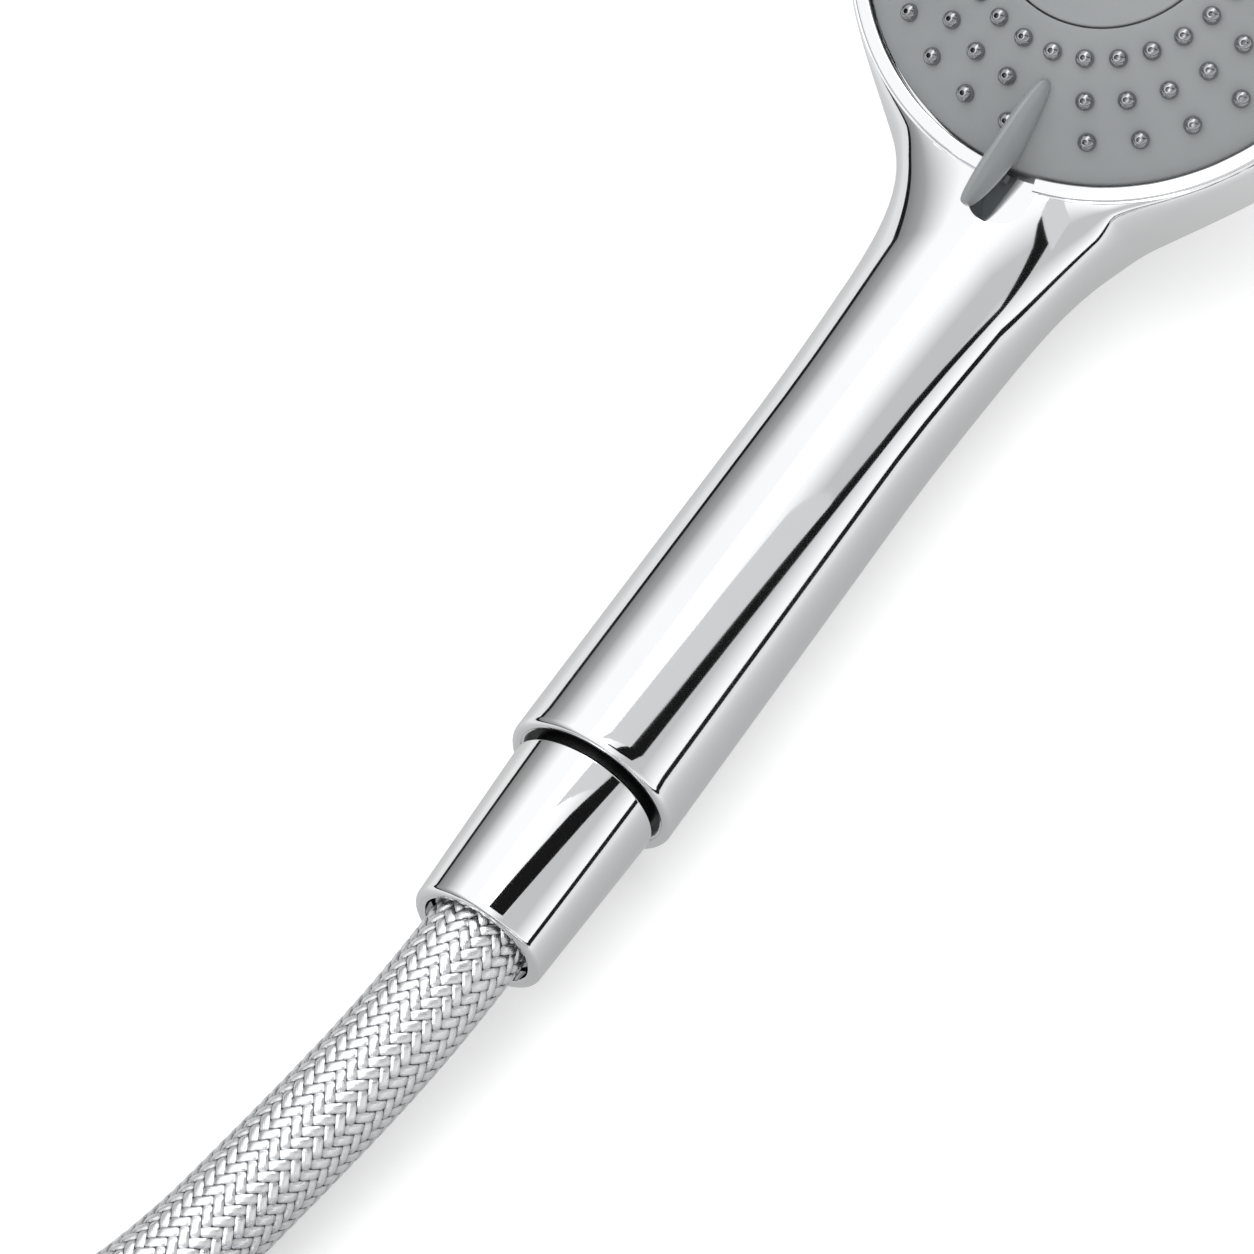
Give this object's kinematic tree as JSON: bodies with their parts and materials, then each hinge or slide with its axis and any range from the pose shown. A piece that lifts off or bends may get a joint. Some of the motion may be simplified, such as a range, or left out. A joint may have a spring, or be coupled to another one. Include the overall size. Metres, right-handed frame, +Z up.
{
  "type": "handheld shower head",
  "caption": "Chrome handheld shower head with a turnable domed spray face and lever, on a braided hose with a cone nut at the handset and a hex nut at the tap end.",
  "frame": {"origin": "on the floor below the middle of the handset, which lies on its back; the hose is left out of that middle", "axes": "+X along the handle towards the spray head, +Z up, +Y to the left when looking along +X"},
  "size_m": [0.4945, 0.2176, 0.0698],
  "materials": {
    "chrome_body": "polished chrome plate, over plastic on the handset and over brass on the nuts",
    "grey_face": "matte blue-grey moulded plastic with a fine grain",
    "nozzles": "metallised dark silver beads, each with a small black jet hole",
    "inner_plastic": "natural moulded plastic",
    "rubber_seals": "black moulded rubber",
    "brass": "turned brass",
    "steel": "plain stainless steel",
    "restrictor_plastic": "green moulded plastic",
    "valve_plastic": "orange moulded plastic",
    "hose_braid": "satin stainless wire braid over a rubber tube"
  },
  "bodies": {
    "handset": {"handset_shell": "chrome_body", "trim_ring": "chrome_body", "selector_seal": "rubber_seals", "pivot_post": "brass", "pivot_washer": "steel", "pivot_screw": "steel", "water_chamber": "inner_plastic", "chamber_cover": "inner_plastic", "cover_seal": "rubber_seals", "detent_spring": "steel", "water_tube": "inner_plastic", "tube_seal": "rubber_seals", "inlet_insert": "brass", "strainer": "steel", "flow_restrictor": "restrictor_plastic", "check_valve_body": "inner_plastic", "check_valve_spring": "steel", "hose_washer_near": "rubber_seals", "hose_nipple_near": "brass", "hose_ferrule_near": "steel", "hose_lead": "hose_braid", "hose_coil": "hose_braid", "hose_tail": "hose_braid", "hose_ferrule_far": "steel", "hose_nipple_far": "brass", "hose_washer_far": "rubber_seals"},
    "selector": {"face_plate": "grey_face", "centre_cap": "grey_face", "selector_lever": "grey_face", "nozzles_inner": "nozzles", "nozzles_middle": "nozzles", "nozzles_outer": "nozzles", "selector_disc": "inner_plastic"},
    "cone_nut": {"conical_nut": "chrome_body"},
    "tap_nut": {"hex_nut": "chrome_body"},
    "detent": {"detent_ball": "steel"},
    "valve": {"check_valve_poppet": "valve_plastic"}
  },
  "joints": [
    {"name": "selector_turn", "type": "hinge", "parent": "handset", "child": "selector", "pos_m": [0.0721, 0, 0.048], "axis": [-0.4695, 0, 0.8829], "range_deg": [0, 5]},
    {"name": "cone_nut_spin", "type": "hinge", "parent": "handset", "child": "cone_nut", "pos_m": [-0.1044, 0, 0.014], "axis": [1, 0, 0], "continuous": true},
    {"name": "tap_nut_spin", "type": "hinge", "parent": "handset", "child": "tap_nut", "pos_m": [-0.359, -0.0928, 0.0298], "axis": [0, -1, 0], "continuous": true},
    {"name": "detent_press", "type": "slide", "parent": "handset", "child": "detent", "axis": [-0.4695, 0, 0.8829], "range_m": [-0.0004, 0], "stiffness_N_per_m": 300, "springref_m": 0.001, "deforming": ["detent_spring"]},
    {"name": "valve_lift", "type": "slide", "parent": "handset", "child": "valve", "axis": [1, 0, 0], "range_m": [0, 0.0025], "stiffness_N_per_m": 80, "springref_m": -0.003, "deforming": ["check_valve_spring"]}
  ]
}
